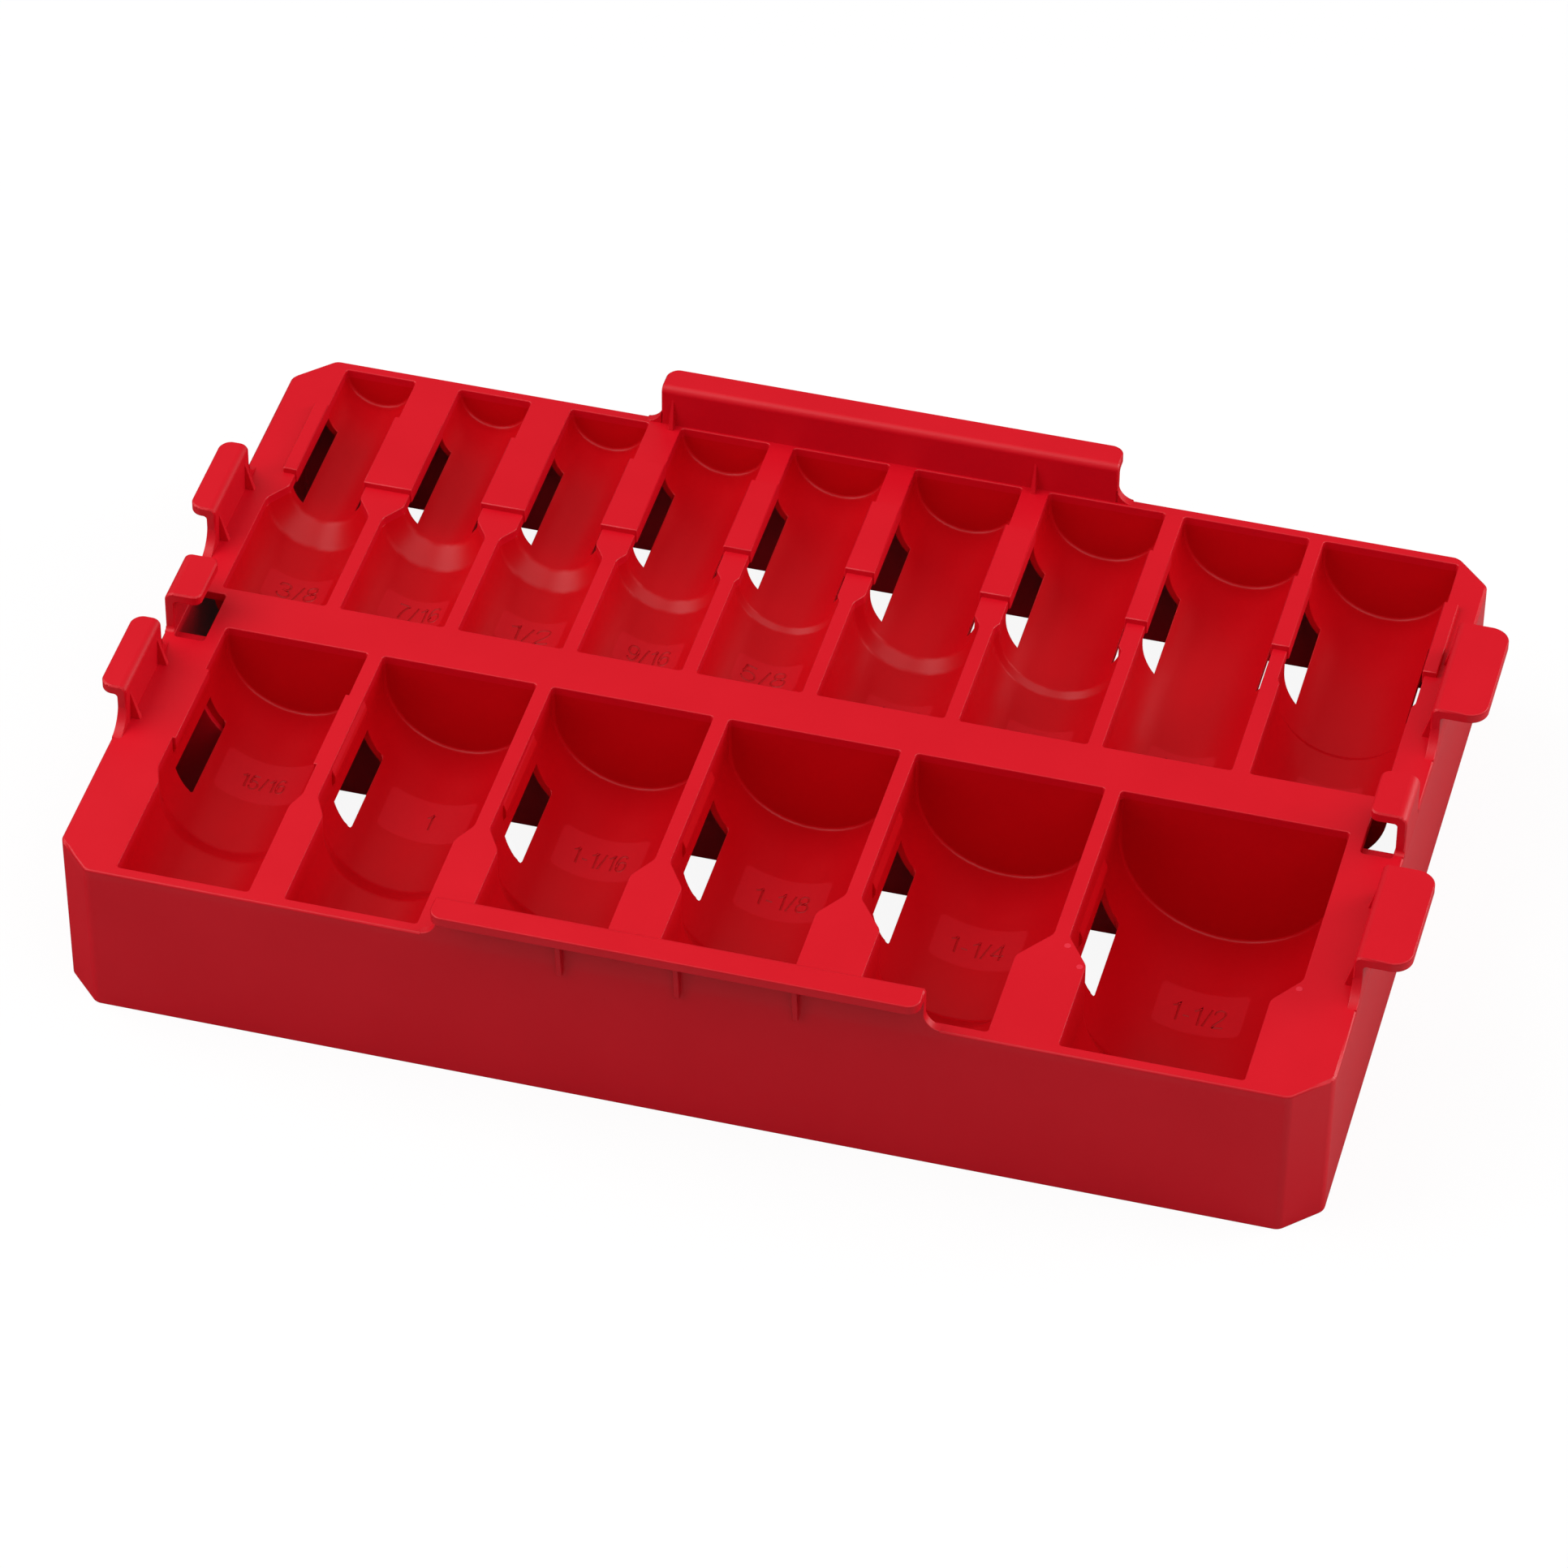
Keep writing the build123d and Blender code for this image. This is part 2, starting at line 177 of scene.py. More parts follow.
def pale_floor(glow_share, glossy_share):
    """A pale floor that looks white and keeps a faint shadow; its reflections show a painted shade under the
    tray and a painted paler band to its right.
    """
    material = bpy.data.materials.new("pale_floor")
    material.use_nodes = True
    tree = material.node_tree
    tree.nodes.clear()
    rays = tree.nodes.new("ShaderNodeLightPath").outputs
    place = tree.nodes.new("ShaderNodeTexCoord")
    across = tree.nodes.new("ShaderNodeSeparateXYZ")
    tree.links.new(place.outputs["Object"], across.inputs[0])
    mirrored = tree.nodes.new("ShaderNodeMapRange")
    for name, value in PAINTED_FLOOR_REFLECTION.items():
        mirrored.inputs[name].default_value = value
    tree.links.new(across.outputs["X"], mirrored.inputs["Value"])
    # Reflections of the floor take a painted shade under the tray and a painted paler band to its right
    lit = colour_mix(tree, rays["Is Glossy Ray"], FLOOR_LIT, mirrored.outputs["Result"])
    matt = tree.nodes.new("ShaderNodeBsdfDiffuse")
    tree.links.new(colour_mix(tree, rays["Is Camera Ray"], lit, FLOOR_SEEN), matt.inputs["Color"])
    glow = white_source(tree, "ShaderNodeEmission", 1.0)
    share = math_node(tree, "MULTIPLY", white_share(tree, glossy_share), glow_share)
    out = tree.nodes.new("ShaderNodeOutputMaterial")
    show_share(tree, share, matt, glow, out)
    near_side, far_side = -FLOOR_REACH, FLOOR_REACH
    corners = [(near_side, near_side, 0), (far_side, near_side, 0), (far_side, far_side, 0),
               (near_side, far_side, 0)]
    mesh = bpy.data.meshes.new("pale_floor")
    mesh.from_pydata(corners, [], [(0, 1, 2, 3)])
    mesh.materials.append(material)
    floor = placed("pale_floor", mesh)


photo_camera()
white_world(ambient=0.20, glossy_share=0.0)
pale_floor(glow_share=0.92, glossy_share=0.02)
soft_lamp("right_softbox", place=(0.65, -0.34, 1.18), aim=TRAY_MIDDLE, size=1.6, power=11.5)
soft_lamp("left_softbox", place=(-0.92, -0.20, 0.92), aim=TRAY_MIDDLE, size=1.4, power=16.5)
soft_lamp("side_softbox", place=(0.95, 0.42, 0.30), aim=RIGHT_WALL, size=0.6, power=6.0)
bpy.context.scene.view_settings.view_transform = "Standard"


# Pockets, as the tray was drawn around its deck's middle

DECK_TO_FRAME = -3.0
TRAY_HEIGHT = 40.65
DECK_UNDER = 38.45
FLOOR_WALL = 1.3
SOCKET_STAND = 11.75
POCKET_LENGTH = 83.8
SEAM_INSET = 1.6

Pocket = namedtuple("Pocket", "size words x axis hex_radius drive_radius "
                              "front rear step step_end window row")
Window = namedtuple("Window", "inner front rear")
Row = namedtuple("Row", "name front rib step_place step_base step_slope "
                        "window_base window_share window_rear window_length")

BACK_ROW = Row("back", front=6.65, rib=3.4, step_place=33.4, step_base=0.4, step_slope=1.35,
               window_base=1.2, window_share=0.12, window_rear=15.3, window_length=27.0)
FRONT_ROW = Row("front", front=-90.45, rib=3.6, step_place=34.2, step_base=3.0, step_slope=0.9,
                window_base=3.85, window_share=0.0, window_rear=14.25, window_length=25.2)

# Each socket's size, the width of its hex end and the width of its drive end
BACK_SOCKETS = (("3_8", 17.3, 25.0), ("7_16", 17.8, 25.0), ("1_2", 19.2, 25.0), ("9_16", 21.7, 25.0),
                ("5_8", 23.4, 25.0), ("11_16", 25.9, 30.0), ("3_4", 28.0, 30.0), ("13_16", 30.0, 30.0),
                ("7_8", 32.0, 30.6))
FRONT_SOCKETS = (("15_16", 34.1, 30.6), ("1", 36.6, 30.6), ("1_1_16", 38.2, 30.6), ("1_1_8", 40.3, 30.6),
                 ("1_1_4", 43.8, 30.6), ("1_1_2", 52.5, 41.2))


def numeral_words(size):
    """A socket's size as it is engraved, such as 1-1/16."""
    parts = size.split("_")
    if len(parts) == 3:
        return parts[0] + "-" + parts[1] + "/" + parts[2]
    return "/".join(parts)


def lay_row(sockets, row):
    """Places a row of pockets side by side, in the frame of the model."""
    widths = [max(hex_width, drive_width) for size, hex_width, drive_width in sockets]
    left = DECK_TO_FRAME - (sum(widths) + row.rib * (len(widths) - 1)) / 2
    laid = []
    for (size, hex_width, drive_width), width in zip(sockets, widths):
        sink = min(width / 2 - SOCKET_STAND, TRAY_HEIGHT - FLOOR_WALL - width / 2)
        step_length = row.step_base + row.step_slope * abs(hex_width - drive_width) / 2
        step = row.front + row.step_place - (step_length if hex_width > drive_width else 0)
        rear = row.front + POCKET_LENGTH
        inner = hex_width / 2 - row.window_base - row.window_share * hex_width / 2
        window = Window(inner, rear - row.window_rear - row.window_length, rear - row.window_rear)
        laid.append(Pocket(size, numeral_words(size), left + width / 2, TRAY_HEIGHT - sink, hex_width / 2,
                           drive_width / 2, row.front, rear, step, step + step_length, window, row.name))
        left += width + row.rib
    return laid


pockets = lay_row(BACK_SOCKETS, BACK_ROW) + lay_row(FRONT_SOCKETS, FRONT_ROW)
pocket_of = {"cradle_" + pocket.size: pocket for pocket in pockets}
seam_rows = [seam for row in (BACK_ROW, FRONT_ROW)
             for seam in (row.front + SEAM_INSET, row.front + POCKET_LENGTH - SEAM_INSET)]


# Finishes

Tones = namedtuple("Tones", "low high")
DECK_TONES = Tones((0.57, 0.0003, 0.0085, 1), (0.63, 0.0006, 0.0105, 1))
# The troughs' tones are darker than the deck's: painted shade of the pockets
TROUGH_SHADED_TONES = Tones((0.53, 0.0003, 0.0040, 1), (0.58, 0.0005, 0.0055, 1))
# The numerals' darker tones are painted shade in their grooves
GROOVE_SHADE_TONES = Tones((0.44, 0.0003, 0.0032, 1), (0.48, 0.0005, 0.0042, 1))
# The polished spots' paler, pinker tones are a painted highlight
POLISHED_GLINT_TONES = Tones((0.68, 0.02, 0.04, 1), (0.72, 0.03, 0.05, 1))
PATCH_TONE = (0.60, 0.003, 0.010, 1)
DECK_SHINE = 0.36
CRADLE_SHINE = 0.27

# The patch around each numeral: its middle from the pocket's middle and along the tray, and its half sizes
Patch = namedtuple("Patch", "across along half_width half_length added_roughness")
PATCHES = {
    "back": Patch(-0.2, 23.5, 7.8, 5.0, 0.08),
    "front": Patch(-0.5, -32.35, 10.3, 6.95, 0.08),
}
PATCH_CORNER = 1.5
PATCH_BLUR = 0.3


def shader_group(name, inputs, outputs):
    """A node group on plain numbers. Returns it with what it is given and what it gives."""
    group = bpy.data.node_groups.new(name, "ShaderNodeTree")
    for key, value in inputs.items():
        socket = group.interface.new_socket(key, in_out="INPUT", socket_type="NodeSocketFloat")
        socket.default_value = value
    for key in outputs:
        group.interface.new_socket(key, in_out="OUTPUT", socket_type="NodeSocketFloat")
    given = group.nodes.new("NodeGroupInput").outputs
    gives = group.nodes.new("NodeGroupOutput").inputs
    return group, given, gives


def moulded_grain():
    """A node group with the fine spark-eroded grain of the mould and its slow changes in gloss."""
    inputs = {"Grain Scale": 2600.0, "Gloss Scale": 45.0, "Base Roughness": 0.45, "Gloss Change": 0.06}
    group, given, gives = shader_group("moulded_grain", inputs, ("Height", "Roughness", "Tone"))
    place = group.nodes.new("ShaderNodeTexCoord")
    grain = group.nodes.new("ShaderNodeTexNoise")
    grain.inputs["Detail"].default_value = 3.0
    grain.inputs["Roughness"].default_value = 0.6
    flow = group.nodes.new("ShaderNodeTexNoise")
    flow.inputs["Detail"].default_value = 3.0
    links = group.links
    links.new(place.outputs["Object"], grain.inputs["Vector"])
    links.new(place.outputs["Object"], flow.inputs["Vector"])
    links.new(given["Grain Scale"], grain.inputs["Scale"])
    links.new(given["Gloss Scale"], flow.inputs["Scale"])
    spread = math_node(group, "SUBTRACT", flow.outputs["Fac"], 0.5)
    change = math_node(group, "MULTIPLY", spread, given["Gloss Change"])
    roughness = math_node(group, "ADD", change, given["Base Roughness"])
    links.new(grain.outputs["Fac"], gives["Height"])
    links.new(roughness, gives["Roughness"])
    links.new(flow.outputs["Fac"], gives["Tone"])
    return group


def numeral_patch():
    """A node group that is 1 on the rounded patch around a size numeral and 0 elsewhere."""
    usual = PATCHES["front"]
    inputs = {"Half Width": usual.half_width * MM, "Half Length": usual.half_length * MM,
              "Corner": PATCH_CORNER * MM, "Blur": PATCH_BLUR * MM}
    group, given, gives = shader_group("numeral_patch", inputs, ("Mask",))
    place = group.nodes.new("ShaderNodeAttribute")
    place.attribute_name = "patch_place"
    split = group.nodes.new("ShaderNodeSeparateXYZ")
    group.links.new(place.outputs["Vector"], split.inputs[0])
    beyond = []
    for axis, half in (("X", "Half Width"), ("Y", "Half Length")):
        straight = math_node(group, "SUBTRACT", given[half], given["Corner"])
        away = math_node(group, "SUBTRACT", math_node(group, "ABSOLUTE", split.outputs[axis]), straight)
        past = math_node(group, "MAXIMUM", away, 0.0)
        beyond.append(math_node(group, "MULTIPLY", past, past))
    distance = math_node(group, "SQRT", math_node(group, "ADD", beyond[0], beyond[1]))
    inside = math_node(group, "SUBTRACT", given["Corner"], distance)
    edge = math_node(group, "DIVIDE", inside, given["Blur"])
    mask = math_node(group, "MINIMUM", math_node(group, "MAXIMUM", edge, 0.0), 1.0)
    group.links.new(mask, gives["Mask"])
    return group


grain_group = moulded_grain()
patch_group = numeral_patch()


def red_plastic(name, roughness, gloss_change, grain_depth, tones=DECK_TONES, patch=None, shine=DECK_SHINE):
    """Moulded red plastic of one gloss, with a paler patch around the numeral where one is given."""
    material = bpy.data.materials.new(name)
    material.use_nodes = True
    tree = material.node_tree
    plastic = tree.nodes["Principled BSDF"]
    plastic.inputs["IOR"].default_value = 1.49
    plastic.inputs["Specular IOR Level"].default_value = shine
    grain = tree.nodes.new("ShaderNodeGroup")
    grain.node_tree = grain_group
    grain.inputs["Base Roughness"].default_value = roughness
    grain.inputs["Gloss Change"].default_value = gloss_change
    bump = tree.nodes.new("ShaderNodeBump")
    bump.inputs["Strength"].default_value = 0.25
    bump.inputs["Distance"].default_value = grain_depth * MM
    tree.links.new(grain.outputs["Height"], bump.inputs["Height"])
    tree.links.new(bump.outputs["Normal"], plastic.inputs["Normal"])
    colour = colour_mix(tree, grain.outputs["Tone"], tones.low, tones.high)
    gloss = grain.outputs["Roughness"]
    if patch:
        mask = tree.nodes.new("ShaderNodeGroup")
        mask.node_tree = patch_group
        mask.inputs["Half Width"].default_value = patch.half_width * MM
        mask.inputs["Half Length"].default_value = patch.half_length * MM
        on_patch = mask.outputs["Mask"]
        gloss = math_node(tree, "ADD", gloss, math_node(tree, "MULTIPLY", on_patch, patch.added_roughness))
        colour = colour_mix(tree, on_patch, colour, PATCH_TONE)
    tree.links.new(colour, plastic.inputs["Base Color"])
    tree.links.new(gloss, plastic.inputs["Roughness"])
    return material


satin_red = red_plastic("satin_red_plastic", roughness=0.42, gloss_change=0.10, grain_depth=0.08)
wall_red = red_plastic("wall_red_plastic", roughness=0.34, gloss_change=0.04, grain_depth=0.02)
# Cradle plastics whose darker base colour is painted shade of the pockets
shaded_cradle_reds = {
    row: red_plastic(row + "_cradle_shaded_red_plastic", roughness=0.38, gloss_change=0.08, grain_depth=0.03,
                     tones=TROUGH_SHADED_TONES, patch=patch, shine=CRADLE_SHINE)
    for row, patch in PATCHES.items()
}
# Numeral strokes: the same plastic, darker for painted shade in the grooves
groove_shaded_red = red_plastic("groove_shaded_red_plastic", roughness=0.5, gloss_change=0.05, grain_depth=0.08,
                           tones=GROOVE_SHADE_TONES)
# Polished spots: lower roughness, and a painted highlight in their paler colour
polished_glint_red = red_plastic("polished_glint_red_plastic", roughness=0.22, gloss_change=0.05, grain_depth=0.02,
                           tones=POLISHED_GLINT_TONES)


# Rounded edges

Rounding = namedtuple("Rounding", "width segments")
CORNER_ROUND = Rounding(0.8, 4)
STEP_ROUND = Rounding(0.9, 3)
STEP_SHARE = 0.2
WINDOW_ROUND = Rounding(0.8, 3)
EDGE_ROUND = Rounding(0.3, 2)
THIN_EDGE_ROUND = Rounding(0.22, 2)
UPSTANDS = ("_ear", "_hook", "_flange")

# Angles between faces: flat, tangent, sharp, and sharp beside a rounding
FLAT_TURN = math.radians(0.3)
TANGENT_TURN = math.radians(10)
SHARP_TURN = math.radians(20)
SECOND_TURN = math.radians(60)

# A broken edge: how wide its strip may be, how it turns, and how much of its outline has to turn so
STRIP_WIDTH = 0.9
STRIP_TURN = math.radians(45)
STRIP_TURN_REACH = math.radians(10)
STRIP_OUTLINE = 0.15

# How near points count as the same, on the same form, or against another feature
WELD_REACH = 0.002
CLOSE = 0.03
CHORD_SAG = 0.3
TROUGH_REACH = 0.12
TOUCH = 0.05
UPSTAND_TOUCH = 0.02
# Where an edge is sampled, and how many samples of an open one may lie against another feature
EDGE_SAMPLES = (0.2, 0.5, 0.8)
MOST_COVERED = 1
UPSTAND_COVERED = 2

# Least cosines between a face's normal and the normals that its corners may take
TROUGH_ALIKE = 0.95
KEPT_ALIKE = 0.3
NEIGHBOUR_ALIKE = 0.6
BLEND_ALIKE = 0.5
# A corner without a kept normal has one of no length
SET_LENGTH = 0.5


def surface_of(mesh):
    """A search tree of a mesh's faces, with the mesh's box."""
    points = [vertex.co for vertex in mesh.vertices]
    tree = BVHTree.FromPolygons(points, [face.vertices for face in mesh.polygons])
    low = Vector(min(point[axis] for point in points) for axis in range(3))
    high = Vector(max(point[axis] for point in points) for axis in range(3))
    return tree, low, high


surfaces = {name: surface_of(node.data) for name, node in nodes.items()}


def beside(name):
    """The surfaces of the nodes whose boxes touch this node's box."""
    tree, low, high = surfaces[name]
    found = []
    for other, (other_tree, other_low, other_high) in surfaces.items():
        apart = any(low[axis] > other_high[axis] + TOUCH * MM or high[axis] < other_low[axis] - TOUCH * MM
                    for axis in range(3))
        if other != name and not apart:
            found.append(other_tree)
    return found


def welded(node, exact):
    """A closed copy of a node's loose triangles, with the node's true normals kept at its corners."""
    work = bmesh.new()
    work.from_mesh(node.data)
    keep = work.loops.layers.float_vector.new(exact)
    corner_normals = node.data.corner_normals
    index = 0
    work.faces.ensure_lookup_table()
    for face in work.faces:
        for loop in face.loops:
            loop[keep] = corner_normals[index].vector
            index += 1
    bmesh.ops.remove_doubles(work, verts=work.verts, dist=WELD_REACH * MM)
    bmesh.ops.dissolve_limit(work, angle_limit=FLAT_TURN, verts=work.verts, edges=work.edges,
                             use_dissolve_boundaries=False)
    areas = {face: face.calc_area() for face in work.faces}
    for vertex in work.verts:
        loops = list(vertex.link_loops)
        leaders = []
        for loop in loops:
            alike = [other for other in loops if other[keep].dot(loop[keep]) > math.cos(TANGENT_TURN)]
            leaders.append(max(alike, key=lambda other: areas[other.face])[keep].copy())
        for loop, normal in zip(loops, leaders):
            loop[keep] = normal
    return work


def in_millimetres(vertex):
    """A vertex's place in the tray's own measure."""
    return vertex.co / MM


def from_axis(pocket, point):
    """How far a point is from the middle of a pocket: from its axis below, from its middle plane above."""
    across = abs(point.x - pocket.x)
    return math.hypot(across, point.z - pocket.axis) if point.z < pocket.axis else across


def near(value, target, reach=CLOSE):
    """Whether two values are the same within a reach."""
    return abs(value - target) < reach


def bounds_ring(pocket, edge, level, radius):
    """Whether an edge is part of the ring of the given radius across a pocket at one place along it."""
    ends = [in_millimetres(vertex) for vertex in edge.verts]
    if not all(near(point.y, level) and near(from_axis(pocket, point), radius) for point in ends):
        return False
    return near(from_axis(pocket, (ends[0] + ends[1]) / 2), radius, CHORD_SAG)


def bounds_window(pocket, edge):
    """Whether an edge is an upright corner of one of a cradle's windows."""
    window = pocket.window
    first, second = (in_millimetres(vertex) for vertex in edge.verts)
    if not near((first - second).xy.length, 0):
        return False
    at_end = near(first.y, window.front) or near(first.y, window.rear)
    return near(abs(first.x - pocket.x), window.inner) and at_end


def round_over(work, edges, rounding, made):
    """Rounds edges over and marks the faces that this makes."""
    if edges:
        result = bmesh.ops.bevel(work, geom=edges, offset=rounding.width * MM, offset_type="OFFSET",
                                 segments=rounding.segments, profile=0.5, affect="EDGES",
                                 clamp_overlap=False, loop_slide=True)
        for face in result["faces"]:
            face[made] = 1


def is_broken_edge(face):
    """Whether a face is the narrow strip, halfway between its neighbours, that a broken edge leaves."""
    lengths = {edge: edge.calc_length() for edge in face.edges}
    if face.calc_area() > max(lengths.values()) * STRIP_WIDTH * MM:
        return False
    halfway = [edge for edge in lengths if near(edge.calc_face_angle(0.0), STRIP_TURN, STRIP_TURN_REACH)]
    return sum(lengths[edge] for edge in halfway) > STRIP_OUTLINE * face.calc_perimeter()


def lies_in_seam(edge, name):
    """Whether an edge is where one feature of the moulding runs on into the next."""
    if name.endswith(UPSTANDS):
        return False
    first, second = (in_millimetres(vertex) for vertex in edge.verts)
    if near(first.z, DECK_UNDER) and near(second.z, DECK_UNDER):
        return True
    return any(near(first.y, seam) and near(second.y, seam) for seam in seam_rows)


def is_free(edge, others, reach, most_covered):
    """Whether an edge lies open, with no other feature against it."""
    first, second = (vertex.co for vertex in edge.verts)
    covered = 0
    for share in EDGE_SAMPLES:
        point = first.lerp(second, share)
        covered += any(tree.find_nearest(point, reach * MM)[0] is not None for tree in others)
    return covered <= most_covered


def round_pocket(work, pocket, made):
    """Rounds the corners at a pocket's ends and at its step."""
    ends = [edge for edge in work.edges if bounds_ring(pocket, edge, pocket.front, pocket.drive_radius)
            or bounds_ring(pocket, edge, pocket.rear, pocket.hex_radius)]
    round_over(work, ends, CORNER_ROUND, made)
    if pocket.hex_radius != pocket.drive_radius:
        steps = [edge for edge in work.edges if bounds_ring(pocket, edge, pocket.step, pocket.drive_radius)
                 or bounds_ring(pocket, edge, pocket.step_end, pocket.hex_radius)]
        slant = math.hypot(pocket.step_end - pocket.step, pocket.hex_radius - pocket.drive_radius)
        width = min(STEP_ROUND.width, STEP_SHARE * slant)
        round_over(work, steps, STEP_ROUND._replace(width=width), made)


def rounded(name):
    """A node's closed copy with its pocket corners, steps, windows and open edges rounded."""
    work = welded(nodes[name], "exact")
    made = work.faces.layers.int.new("made")
    own = pocket_of.get(name)
    if own:
        round_pocket(work, own, made)
        if own.row == "front":
            windows = [edge for edge in work.edges if bounds_window(own, edge)]
            round_over(work, windows, WINDOW_ROUND, made)
    else:
        for pocket in pockets:
            round_pocket(work, pocket, made)
        for face in work.faces:
            if is_broken_edge(face):
                face[made] = 1
    if name.endswith(UPSTANDS):
        rounding, reach, most_covered = THIN_EDGE_ROUND, UPSTAND_TOUCH, UPSTAND_COVERED
    else:
        rounding, reach, most_covered = EDGE_ROUND, TOUCH, MOST_COVERED
    others = beside(name)
    open_edges = []
    for edge in work.edges:
        if not edge.is_convex or edge.calc_face_angle() < SHARP_TURN:
            continue
        if any(face[made] for face in edge.link_faces) and edge.calc_face_angle() < SECOND_TURN:
            continue
        if is_free(edge, others, reach, most_covered) and not lies_in_seam(edge, name):
            open_edges.append(edge)
    round_over(work, open_edges, rounding, made)
    return work


def trough_normal(pocket, loop):
    """The true normal where a corner lies on one of a pocket's round troughs, or None elsewhere."""
    point = in_millimetres(loop.vert)
    away = from_axis(pocket, point)
    if not any(near(away, radius, TROUGH_REACH) for radius in (pocket.hex_radius, pocket.drive_radius)):
        return None
    inward = Vector((pocket.x - point.x, 0, max(pocket.axis - point.z, 0))).normalized()
    return inward if inward.dot(loop.face.normal) > TROUGH_ALIKE else None


def corner_normal(loop, exact, made, pocket):
    """The smooth normal at one corner: a kept face's own, or on a rounding that of the face it runs into."""
    face = loop.face
    own = loop[exact]
    if face.material_index:
        return face.normal
    if pocket and not face[made]:
        inward = trough_normal(pocket, loop)
        if inward:
            return inward
    if own.length < SET_LENGTH:
        return face.normal
    if not face[made]:
        return own.normalized() if own.dot(face.normal) > KEPT_ALIKE else face.normal
    kept = [other[exact] for other in loop.vert.link_loops
            if not other.face[made] and other[exact].length > SET_LENGTH]
    kept = [normal for normal in kept if normal.dot(face.normal) > NEIGHBOUR_ALIKE]
    if kept:
        return max(kept, key=face.normal.dot).normalized()
    total = Vector()
    for other in loop.vert.link_faces:
        if other.normal.dot(face.normal) > BLEND_ALIKE:
            total += other.normal
    return total.normalized()


def finish_mesh(work, mesh, pocket):
    """Puts the rounded shape into a mesh with its smooth normals."""
    exact = work.loops.layers.float_vector["exact"]
    made = work.faces.layers.int["made"]
    work.normal_update()
    normals = [corner_normal(loop, exact, made, pocket) for face in work.faces for loop in face.loops]
    work.loops.layers.float_vector.remove(exact)
    work.faces.layers.int.remove(work.faces.layers.int["made"])
    work.to_mesh(mesh)
    mesh.shade_smooth()
    mesh.normals_split_custom_set(normals)


# Shapes made by geometry nodes

def shape_tree(name, takes, values, gives):
    """A geometry node tree with its sockets. Returns it with its values' identifiers."""
    tree = bpy.data.node_groups.new(name, "GeometryNodeTree")
    tree.interface.new_socket(takes, in_out="INPUT", socket_type="NodeSocketGeometry")
    sockets = {}
    for key in values:
        socket = tree.interface.new_socket(key, in_out="INPUT", socket_type="NodeSocketFloat")
        sockets[key] = socket.identifier
    finish = tree.interface.new_socket("Finish", in_out="INPUT", socket_type="NodeSocketMaterial")
    sockets["Finish"] = finish.identifier
    tree.interface.new_socket(gives, in_out="OUTPUT", socket_type="NodeSocketGeometry")
    return tree, sockets


def give_finished(tree, tree_in, shape):
    """Makes a tree's shape real, gives it its finish and puts it out."""
    tree_out = tree.nodes.new("NodeGroupOutput")
    whole = tree.nodes.new("GeometryNodeRealizeInstances")
    tree.links.new(shape, whole.inputs["Geometry"])
    finish = tree.nodes.new("GeometryNodeSetMaterial")
    tree.links.new(whole.outputs[0], finish.inputs["Geometry"])
    tree.links.new(tree_in.outputs["Finish"], finish.inputs["Material"])
    tree.links.new(finish.outputs[0], tree_out.inputs[0])


def shaped(name, data, tree, sockets, values):
    """The mesh that a geometry node tree makes of a curve or of points."""
    holder = placed(name, data)
    making = holder.modifiers.new(tree.name, "NODES")
    making.node_group = tree
    for key, value in values.items():
        making[sockets[key]] = value
    mesh = evaluated_mesh(holder)
    bpy.data.objects.remove(holder)
    return mesh


# Size numerals, engraved in the floor of each cradle

STROKE_RADIUS = 0.30
STROKE_LIFT = 0.10
STROKE_SIDES = 10
POINT_SPACING = 0.45

# The floor under a numeral: its cells, the room around them, and what counts as floor and as a cell
CELL_SIZE = 0.8
CELL_MARGIN = 0.4
CELL_CUT_REACH = 0.001
FLOOR_FACING = 0.5
FLOOR_DEPTH = 0.7
MOST_CELLS = 4

NumeralBox = namedtuple("NumeralBox", "left right front rear")
ROW_NUMERALS = {
    "back": NumeralBox(-5.3, 5.3, 20.7, 26.1),
    "front": NumeralBox(-7.1, 6.0, -35.8, -30.0),
}
NUMERAL_BOXES = {
    "3_8": NumeralBox(-5.0, 5.0, 20.7, 26.1),
    "7_16": NumeralBox(-4.3, 6.3, 20.7, 26.1),
    "1_2": NumeralBox(-5.3, 4.7, 20.7, 26.1),
    "9_16": NumeralBox(-5.2, 5.0, 20.7, 26.1),
    "5_8": NumeralBox(-6.3, 4.5, 20.7, 26.1),
    "15_16": NumeralBox(-6.0, 4.8, -35.2, -30.2),
    "1": NumeralBox(-1.2, 0.5, -35.0, -29.5),
    "1_1_2": NumeralBox(-7.2, 5.6, -36.4, -30.1),
}

